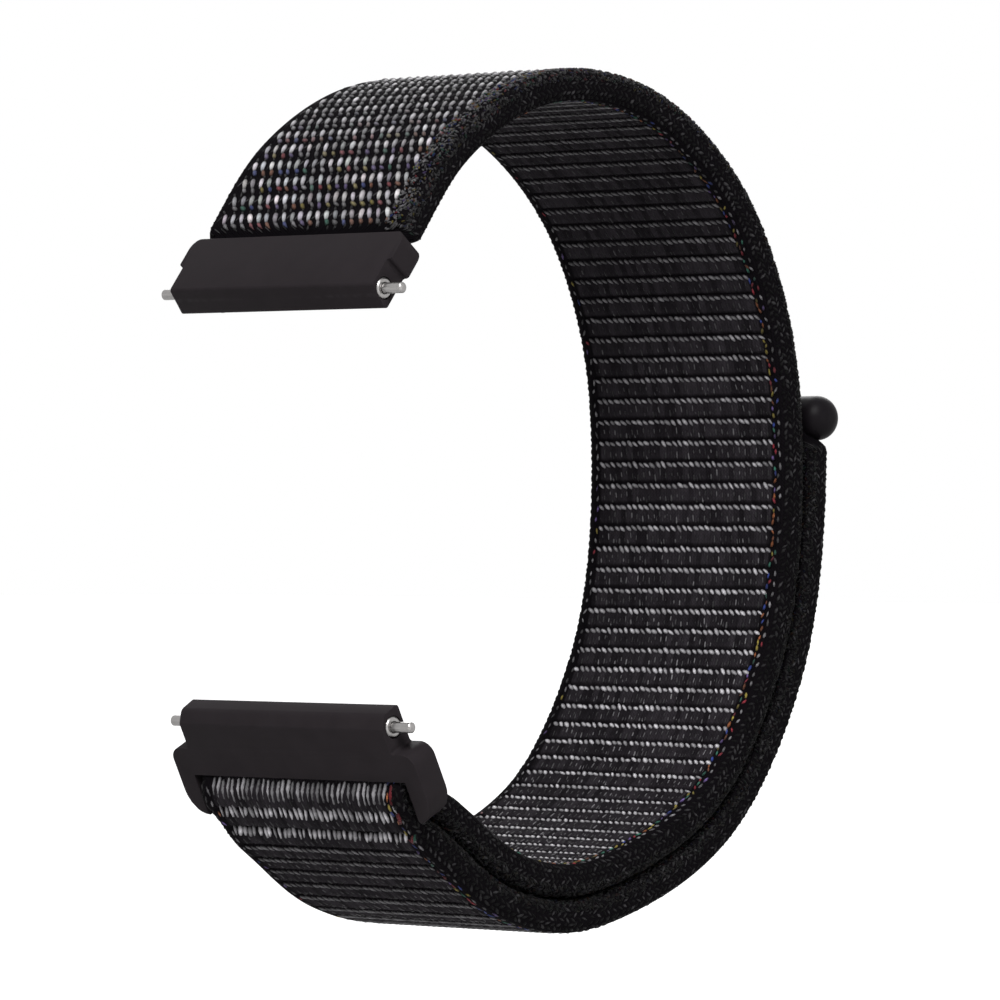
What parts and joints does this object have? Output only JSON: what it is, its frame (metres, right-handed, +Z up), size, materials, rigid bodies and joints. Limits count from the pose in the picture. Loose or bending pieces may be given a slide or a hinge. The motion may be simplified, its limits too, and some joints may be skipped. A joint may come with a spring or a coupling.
{
  "type": "hook and loop watch strap",
  "caption": "Woven hook and loop watch strap closed in a ring, with a fixed end connector, a loop connector that the band folds back through, and quick-release spring bars.",
  "frame": {"origin": "middle of the upper spring bar, which turns in the watch's upper lugs", "axes": "+Z up along the ring's height, +X from the open side where the watch sits to the back of the wrist, +Y across the band, along both spring bars"},
  "size_m": [0.0506, 0.0236, 0.0613],
  "materials": {
    "weave": "black nylon weave with silver-grey stitches and a few coloured threads",
    "hooks": "black moulded hooks",
    "tab": "satin black moulding",
    "connectors": "matte charcoal moulding",
    "steel": "turned steel"
  },
  "bodies": {
    "band": {"band_run": "weave", "band_fold": "weave", "fixed_connector": "connectors", "upper_bar_barrel": "steel", "upper_bar_plug": "steel", "upper_bar_spring": "steel"},
    "upper_plunger": {"upper_bar_plunger": "steel", "upper_release_lever": "steel"},
    "loop": {"loop_connector": "connectors", "lower_bar_barrel": "steel", "lower_bar_plug": "steel", "lower_bar_spring": "steel"},
    "lower_plunger": {"lower_bar_plunger": "steel", "lower_release_lever": "steel"},
    "tail_root": {"tail_root": "weave"},
    "tail_mid": {"tail_mid": "weave"},
    "tail_end": {"tail_end": "weave", "hook_patch": "hooks", "end_tab": "tab"}
  },
  "joints": [
    {"name": "upper_release", "type": "slide", "parent": "band", "child": "upper_plunger", "axis": [0, -1, 0], "range_m": [0, 0.0014], "stiffness_N_per_m": 150, "springref_m": -0.001, "deforming": ["upper_bar_spring"]},
    {"name": "loop_swing", "type": "hinge", "parent": "band", "child": "loop", "pos_m": [0.00353, 0, -0.03493], "axis": [0, 1, 0], "range_deg": [-30, 30]},
    {"name": "lower_release", "type": "slide", "parent": "loop", "child": "lower_plunger", "axis": [0, -1, 0], "range_m": [0, 0.0014], "stiffness_N_per_m": 150, "springref_m": -0.001, "deforming": ["lower_bar_spring"]},
    {"name": "tail_root_peel", "type": "hinge", "parent": "band", "child": "tail_root", "pos_m": [0.00261, 0, -0.03653], "axis": [0, 1, 0], "range_deg": [0, 40]},
    {"name": "tail_mid_peel", "type": "hinge", "parent": "tail_root", "child": "tail_mid", "pos_m": [0.02144, 0, -0.04505], "axis": [0, 1, 0], "range_deg": [0, 60]},
    {"name": "tail_end_peel", "type": "hinge", "parent": "tail_mid", "child": "tail_end", "pos_m": [0.04184, 0, -0.03372], "axis": [0, 1, 0], "range_deg": [0, 100]}
  ]
}
